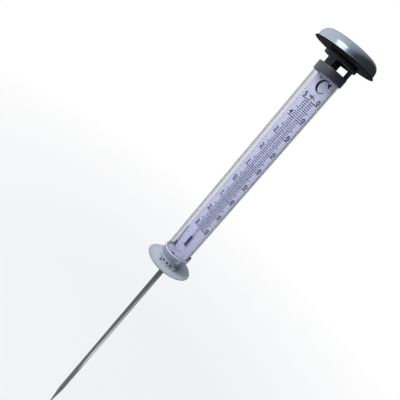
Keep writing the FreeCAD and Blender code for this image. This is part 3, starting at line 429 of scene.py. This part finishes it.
def printed(text, size, middle_x, low):
    """A bmesh of raised text on the card, its middle and its foot there, in millimetres."""
    curve = bpy.data.curves.new("letters", "FONT")
    curve.body = text
    curve.align_x = "CENTER"
    curve.size = size * mm
    curve.extrude = ink * mm / 2
    curve.offset = boldness * size * mm
    letters = bpy.data.objects.new("letters", curve)
    bpy.context.scene.collection.objects.link(letters)
    bpy.context.view_layer.update()
    data = bpy.data.meshes.new_from_object(letters.evaluated_get(bpy.context.evaluated_depsgraph_get()))
    mesh = bmesh.new()
    mesh.from_mesh(data)
    bpy.data.objects.remove(letters)
    bmesh.ops.remove_doubles(mesh, verts=mesh.verts, dist=1e-7)
    place = Matrix.Translation(Vector((middle_x, card_face - ink / 2, low)) * mm)
    bmesh.ops.transform(mesh, matrix=place @ Matrix.Rotation(math.pi / 2, 4, "X"), verts=mesh.verts)
    return mesh


digit_size = 11.4
digit_lift = 1.9
for reading in range(-30, 51, 10):
    foot = zero_level + reading * degree + digit_lift
    name = f"minus_{-reading}" if reading < 0 else f"plus_{reading}"
    for side, digit, place in (("left", str(abs(reading) // 10), -14.0), ("right", "0", 14.2)):
        number = printed(digit, digit_size, print_middle + place, foot)
        fitted(f"number_{name}_{side}", number, navy_ink, "scale_card", replaces=False)

# The C is a fat crescent with a thin wedge at its upper end, as a serif face has it.
letter = bmesh.new()
big = 11.2
inner_shift = 1.3
inner_width = big - 3.4
inner_height = big - 1.3
opening = math.radians(38)
turns = [opening + (math.tau - 2 * opening) * n / 40 for n in range(41)]
crescent = [(big * math.cos(angle), big * math.sin(angle)) for angle in turns]
crescent += [(inner_shift + inner_width * math.cos(angle), inner_height * math.sin(angle))
             for angle in reversed(turns)]
tip_x, tip_z = crescent[0]
wedge = [(tip_x + 0.2, big - 0.6), (tip_x + 1.8, big - 0.6), (tip_x + 1.8, tip_z - 4.0),
         (tip_x + 0.6, tip_z - 4.0), (tip_x - 3.2, tip_z + 0.6)]
letter_x, letter_z = 1.9, 823.9
for shape in (crescent, wedge):
    spots = [Vector((letter_x + x, card_face - ink, letter_z + z)) * mm for x, z in shape]
    letter.faces.new([letter.verts.new(spot) for spot in spots])
bmesh.ops.solidify(letter, geom=letter.faces[:], thickness=ink * mm)
bmesh.ops.recalc_face_normals(letter, faces=letter.faces)
fitted("letter_c", letter, navy_ink, "scale_card", replaces=False)
ring = turned([(1.0, 0), (2.1, 0), (2.1, ink), (1.0, ink)], steps=32)
ring_place = Matrix.Translation(Vector((-11.2, card_face, 833.4)) * mm)
bmesh.ops.transform(ring, verts=ring.verts, matrix=ring_place @ Matrix.Rotation(math.pi / 2, 4, "X"))
fitted("degree_ring", ring, navy_ink, "scale_card", replaces=False)


# ---- Glass stem and spirit -------------------------------------------------------------------------
# A drawn glass tube with a wide bulb and a fine bore. The spirit is dark blue in the bulb and pale in
# the bore, where it is thin. The column stretches with the reading and its top slug is hollow on top,
# like a liquid that wets the glass.

stem_low, stem_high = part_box("glass_stem")
stem_behind = (stem_low.y + stem_high.y) / 2 / mm
stem_reach, glass_low, glass_high = measure("glass_stem")
bulb_reach, bulb_low, bulb_high = measure("spirit_bulb")
column_reach, column_low, column_high = measure("spirit_column")
slug_reach, slug_low, slug_high = measure("spirit_meniscus")
clear_glass = see_through("clear_glass", (0.985, 0.985, 0.99), (0.72, 0.74, 0.86), 0.02, 0.22)
fitted("stem_glass", turned([
    (0, glass_low), (stem_reach - 1, glass_low), (stem_reach, glass_low + 1.6),
    (stem_reach, glass_high - 1.6), (stem_reach - 1, glass_high), (0, glass_high),
], rounding=0.7, steps=48, behind=stem_behind), clear_glass, "glass_stem")


def spirit(name, roughness, dark, pale, coat=0.0):
    """Coloured spirit, its shade drifting a little along the bore."""
    finish = Finish(name, Roughness=roughness, Coat_Weight=coat)
    depth = finish.noise(120, 2.0, (1, 1, 0.2))
    return finish.show(Base_Color=finish.between(depth, dark, pale))


blue_spirit = spirit("blue_spirit", 0.12, (0.006, 0.008, 0.075), (0.012, 0.016, 0.13), coat=0.6)
thin_spirit = spirit("thin_spirit", 0.15, (0.34, 0.37, 0.62), (0.40, 0.43, 0.68))
bulb_mouth = 0.62
fitted("bulb_spirit", turned([
    (0, bulb_low), (bulb_reach * 0.6, bulb_low), (bulb_reach, bulb_low + 1.6),
    (bulb_reach, bulb_high - 2.6), (bulb_mouth, bulb_high - 0.6), (bulb_mouth, bulb_high),
    (0, bulb_high),
], rounding=0.5, steps=40, behind=stem_behind), blue_spirit, "spirit_bulb")
rows = 48
column = [(0, column_low)]
column += [(column_reach, column_low + (column_high - column_low) * n / rows) for n in range(rows + 1)]
column += [(0, column_high)]
column_mesh = turned(column, steps=16, behind=stem_behind)
column_piece = fitted("column_spirit", column_mesh, thin_spirit, "spirit_column")
column_piece.parent = None
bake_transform(column_piece)
fitted("slug_spirit", turned([
    (0, slug_low), (slug_reach, slug_low), (slug_reach, slug_high),
    (slug_reach * 0.75, slug_high - 0.16),
    (slug_reach * 0.4, slug_high - 0.32), (0, slug_high - 0.38),
], steps=24, behind=stem_behind), thin_spirit, "spirit_meniscus")
clip_plastic = see_through("clip_plastic", (0.96, 0.965, 0.98), (0.60, 0.62, 0.74), 0.05, 0.45)
fitted("saddle_clips", softened("stem_clips", 0.3), clip_plastic, "stem_clips")


# ---- Neck ------------------------------------------------------------------------------------------
# Three black posts carry a flange over the collar, so that the head stands clear of the tube and its
# lamp shines down through the collar. The head turns on the flange and locks in its three slots.

fitted("neck_moulding", softened("neck_frame", 0.45), black_plastic, "neck_frame")
fitted("neck_fixings", softened("neck_screws", 0.12), plated_steel, "neck_screws")


# ---- Underside plate -------------------------------------------------------------------------------
# The head's floor, moulded in black with a proud rim, a ring that sits on the flange, a spigot for the
# twist lock and a slot for the switch. Three screws hold it up into the dome.

plate_plastic = moulded("plate_plastic", (0.007, 0.008, 0.011), 0.62, shine=0.06)
fitted("plate_moulding", softened("underside_plate", 0.3), plate_plastic, "underside_plate")
black_steel = metal("black_steel", (0.030, 0.030, 0.033), 0.42, lines=900)
fitted("plate_fixings", softened("plate_screws", 0.15), black_steel, "plate_screws")
fitted("dome_gasket", softened("dome_seal", 0.15), seal_rubber, "dome_seal")


# ---- Dome ------------------------------------------------------------------------------------------
# A moulded shell with a nearly upright side, a rounded shoulder and a flat crown, sprayed in a glossy
# silver-blue with fine flakes. It is open at the crown for the window, with a bevelled seat.

dome_reach, dome_low, _ = measure("dome_shell")
window_reach, window_low, window_high = measure("cell_window")
draft = 1.9
crown = 400.0
shoulder = 14.0
dome_wall = 2.0


def dome_line(inset, stop):
    """The dome's profile from its lower edge up to a radius, set in from the outside by the inset."""
    foot = Vector((dome_reach - inset, dome_low))
    top = window_high - inset
    radius = crown - inset
    heart = Vector((0, top - radius))
    corner = Vector((foot.x - draft, heart.y + math.sqrt(radius ** 2 - (foot.x - draft) ** 2)))
    along = (corner - foot).normalized()
    inward = Vector((-along.y, along.x))
    bend = shoulder - inset
    start = foot + inward * bend - heart
    half = start.dot(along)
    rise = -half + math.sqrt(half ** 2 - start.length_squared + (radius - bend) ** 2)
    middle = foot + inward * bend + along * rise
    first = math.atan2(-inward.y, -inward.x)
    last = math.atan2(middle.y - heart.y, middle.x - heart.x)
    line = [tuple(foot)]
    for n in range(15):
        angle = first + (last - first) * n / 14
        line.append((middle.x + bend * math.cos(angle), middle.y + bend * math.sin(angle)))
    reach = line[-1][0]
    for n in range(1, 9):
        across = reach + (stop - reach) * n / 8
        line.append((across, heart.y + math.sqrt(radius ** 2 - across ** 2)))
    return line


silver_paint = Finish("silver_paint", Metallic=0.92, Coat_Weight=1.0, Coat_Roughness=0.03)
flakes = silver_paint.noise(5200, 1.0)
drift = silver_paint.noise(22, 2.0)
speckle = flakes * 0.7 + drift * 0.3
silver_paint.show(
    Base_Color=silver_paint.between(speckle, (0.37, 0.435, 0.535), (0.50, 0.57, 0.68)),
    Roughness=flakes * 0.08 + 0.16,
    Normal=silver_paint.bump(flakes, 0.0012))
window_play = 0.15
outside = dome_line(0.0, window_reach + window_play)
inside = dome_line(dome_wall, window_reach + window_play)
fitted("dome_paint", turned(outside + inside[::-1], steps=160), silver_paint, "dome_shell")
bosses = bmesh.new()
screw_circle = 46.0
boss_middle = dome_low + 4.9
for n in range(3):
    boss = Vector(about(screw_circle, math.radians(-90 + 120 * n), boss_middle)) * mm
    bmesh.ops.create_cone(bosses, cap_ends=True, segments=32, radius1=3.4 * mm, radius2=3.2 * mm,
                          depth=9.6 * mm, matrix=Matrix.Translation(boss))
fitted("dome_bosses", bosses, black_plastic, "dome_shell", replaces=False)
bright_trim = metal("bright_trim", (0.95, 0.96, 0.98), 0.16, stretch=(0.03, 0.03, 1), depth=0.001)
bead = turned([
    (dome_reach - 0.9, dome_low + 0.05), (dome_reach + 0.4, dome_low + 0.05),
    (dome_reach + 0.3, dome_low + 1.3), (dome_reach - 0.9, dome_low + 1.5),
], rounding=0.35, steps=160)
fitted("dome_bead", bead, bright_trim, "dome_shell", replaces=False)


# ---- Window and solar cell -------------------------------------------------------------------------
# A clear moulding glued in the dome's crown, flat below, where the square solar cell is bonded to it.
# The cell is dark blue silicon in four strips, with printed silver fingers across and a bar down each.

window_plastic = see_through("window_plastic", (0.86, 0.90, 0.95), (0.22, 0.26, 0.33), 0.12, 0.65)
cap_steps = [window_reach * n / 8 for n in range(8, -1, -1)]
cap = [(out, window_high - crown + math.sqrt(crown ** 2 - out ** 2)) for out in cap_steps]
fitted("window_moulding", turned([(0, window_low), (window_reach, window_low)] + cap, steps=128),
       window_plastic, "cell_window")
cell_reach, cell_low, cell_high = measure("solar_cell")
silicon = Finish("silicon", Metallic=0.3, Coat_Weight=0.5)
grains = silicon.node("TexVoronoi", inputs={"Vector": silicon.place, "Scale": 260.0}, output="Color")
tone = silicon.node("SeparateColor", inputs={0: grains})
silicon.show(Base_Color=silicon.between(tone, (0.004, 0.006, 0.030), (0.012, 0.022, 0.085)),
             Roughness=tone * 0.2 + 0.15)
wafer = bmesh.new()
strip = 2 * cell_reach / 4
strip_size = (strip - 0.5, 2 * cell_reach, cell_high - cell_low - 0.2)
for n in range(4):
    block(wafer, strip_size, (-cell_reach + strip * (n + 0.5), 0, (cell_low + cell_high) / 2 - 0.1))
fitted("silicon_strips", rounded(wafer, 0.1, 2), silicon, "solar_cell")
silver_print = metal("silver_print", (0.66, 0.67, 0.68), 0.34)
fingers = bmesh.new()
finger_size = (2 * cell_reach - 1.4, 0.14, 0.08)
bar_size = (0.7, 2 * cell_reach - 1, 0.1)
for n in range(18):
    block(fingers, finger_size, (0, -cell_reach + 1 + 2 * n, cell_high - 0.16))
for n in range(4):
    block(fingers, bar_size, (-cell_reach + strip * (n + 0.5), 0, cell_high - 0.14))
fitted("silver_fingers", fingers, silver_print, "solar_cell", replaces=False)


# ---- Lamp ------------------------------------------------------------------------------------------
# A 5 mm clear diode points down at the tube from the end of a black tube that carries its leads.

fitted("lamp_tube", softened("light_tube", 0.25), black_plastic, "light_tube")
lamp_epoxy = see_through("lamp_epoxy", (0.96, 0.96, 0.93), (0.75, 0.75, 0.68), 0.22, 0.75, power=2.0)
fitted("lamp_lens", softened("light_diode", 0.2, angle=50), lamp_epoxy, "light_diode")
tinned_wire = metal("tinned_wire", (0.62, 0.62, 0.63), 0.34)
fitted("lamp_leads", softened("diode_leads", 0.05), tinned_wire, "diode_leads")


# ---- Battery, board and switch ---------------------------------------------------------------------
# Under the dome: a rechargeable AA cell in an open cradle with a leaf spring, the charging board on
# two posts, and a small slide switch whose knob comes down through the plate.

inner_plastic = moulded("inner_plastic", (0.035, 0.035, 0.040), 0.45)
sleeve = moulded("cell_sleeve", (0.05, 0.23, 0.10), 0.30, coat=0.4)
nickel = metal("nickel", (0.62, 0.61, 0.57), 0.28)
laminate = moulded("laminate", (0.02, 0.14, 0.05), 0.38, coat=0.3)
component_black = moulded("component_black", (0.03, 0.03, 0.03), 0.50)
knob_plastic = moulded("knob_plastic", (0.27, 0.28, 0.30), 0.42)
for node, name, width, finish in (
    ("battery_cradle", "cradle_moulding", 0.3, inner_plastic),
    ("battery_cell", "sleeved_cell", 0.4, sleeve),
    ("battery_contact", "contact_plate", 0.1, nickel),
    ("battery_spring", "leaf_spring", 0.08, nickel),
    ("circuit_board", "charging_board", 0.12, laminate),
    ("board_parts", "coil_and_chip", 0.25, component_black),
    ("board_screws", "board_fixings", 0.1, plated_steel),
    ("switch_housing", "switch_shell", 0.2, inner_plastic),
    ("switch_slider", "switch_knob", 0.25, knob_plastic),
):
    fitted(name, softened(node, width), finish, node)


# ---- Floor -----------------------------------------------------------------------------------------
# A plain pale floor at the stake's tip. It fades away from the object, so that no edge of it shows.

floor_mesh = bmesh.new()
bmesh.ops.create_circle(floor_mesh, cap_ends=True, segments=128, radius=4.0)
floor_finish = Finish("pale_floor", Base_Color=(0.16, 0.16, 0.165, 1), Roughness=0.8,
                      Emission_Color=(0.80, 0.805, 0.82, 1), Emission_Strength=0.92)
away = floor_finish.node("VectorMath", {"operation": "LENGTH"}, {0: floor_finish.place}, output="Value")
fade = floor_finish.node("MapRange", inputs={"Value": away, "From Min": 0.5, "From Max": 1.8})
floor_finish.show(Alpha=1 - fade)
floor_data = bpy.data.meshes.new("floor")
floor_mesh.to_mesh(floor_data)
floor_mesh.free()
floor_data.materials.append(floor_finish.material)
floor = bpy.data.objects.new("floor", floor_data)
floor.location.z = -0.0005
bpy.context.scene.collection.objects.link(floor)


# ---- Light -----------------------------------------------------------------------------------------
# Soft studio light: a big softbox high on the left, a lower fill at the front and one behind, an oval
# lamp whose spot shows on the dome, and a strip at the right for the line along the stake. The surround
# is white to the eye, and in reflections bright at the left and dark at the right and below.

world = bpy.data.worlds.new("studio")
bpy.context.scene.world = world
world.use_nodes = True
nodes, links = world.node_tree.nodes, world.node_tree.links
background = nodes["Background"]
background.inputs["Color"].default_value = (0.93, 0.95, 1.0, 1)
seen = nodes.new("ShaderNodeBackground")
seen.inputs["Color"].default_value = (1.0, 1.0, 1.0, 1)
direction = nodes.new("ShaderNodeTexCoord")
side = nodes.new("ShaderNodeVectorMath")
side.operation = "DOT_PRODUCT"
side.inputs[1].default_value = (-0.80, -0.40, 0.45)
links.new(direction.outputs["Generated"], side.inputs[0])
ramp = nodes.new("ShaderNodeMapRange")
for socket, value in (("From Min", -0.2), ("From Max", 0.85), ("To Min", 0.03), ("To Max", 0.85)):
    ramp.inputs[socket].default_value = value
links.new(side.outputs["Value"], ramp.inputs["Value"])
links.new(ramp.outputs["Result"], background.inputs["Strength"])
ray = nodes.new("ShaderNodeLightPath")
mix = nodes.new("ShaderNodeMixShader")
links.new(ray.outputs["Is Camera Ray"], mix.inputs[0])
links.new(background.outputs[0], mix.inputs[1])
links.new(seen.outputs[0], mix.inputs[2])
links.new(mix.outputs[0], nodes["World Output"].inputs["Surface"])


def softbox(name, place, aim, size, power, mirrored=False, shape="RECTANGLE"):
    """A flat light at that place that faces the aim; only a mirrored one shows in gloss."""
    lamp = bpy.data.lights.new(name, "AREA")
    lamp.shape = shape
    lamp.size, lamp.size_y = size
    lamp.energy = power
    box = bpy.data.objects.new(name, lamp)
    box.location = place
    box.visible_glossy = mirrored
    box.visible_camera = False
    box.rotation_mode = "QUATERNION"
    box.rotation_quaternion = (Vector(aim) - Vector(place)).to_track_quat("-Z", "Y")
    bpy.context.scene.collection.objects.link(box)


tube_middle = (0, 0, 0.65)
dome_front = (0.011, -0.05, 0.882)
softbox("left_softbox", (-0.9, -1.1, 1.55), tube_middle, (0.9, 1.2), 21)
softbox("front_fill", (0.3, -1.9, 0.6), tube_middle, (1.2, 1.2), 10)
softbox("dome_spot", (-0.04, -0.95, 1.33), dome_front, (0.80, 0.34), 1.2, mirrored=True,
        shape="ELLIPSE")
softbox("back_fill", (0.3, 1.6, 0.9), tube_middle, (1.2, 1.2), 6)
softbox("stake_strip", (0.5, 0.0, 0.004), (0.5, 0.0, 1.0), (0.8, 0.28), 2.2, mirrored=True)
bpy.context.scene.view_settings.view_transform = "Standard"


# ---- Camera ----------------------------------------------------------------------------------------
# Right of the front and a little under the head, with the frame turned so that the object runs from
# the lower left to the upper right. The stake's tip is at the frame's lower edge.

camera_data = bpy.data.cameras.new("camera")
camera_data.lens = 40.25
camera_data.sensor_width = 36.0
camera_data.clip_start = 0.01
camera = bpy.data.objects.new("camera", camera_data)
eye = (0.36165, -0.62851, 0.80081)
forward = Vector((-0.5052341, 0.80286417, -0.3164611)).normalized()
level = forward.cross(Vector((0, 0, 1))).normalized()
upright = level.cross(forward)
roll = math.radians(39.83)
right = level * math.cos(roll) + upright * math.sin(roll)
up = upright * math.cos(roll) - level * math.sin(roll)
turn = Matrix((right, up, -forward)).transposed().to_4x4()
camera.matrix_world = Matrix.Translation(eye) @ turn
bpy.context.scene.collection.objects.link(camera)
bpy.context.scene.camera = camera
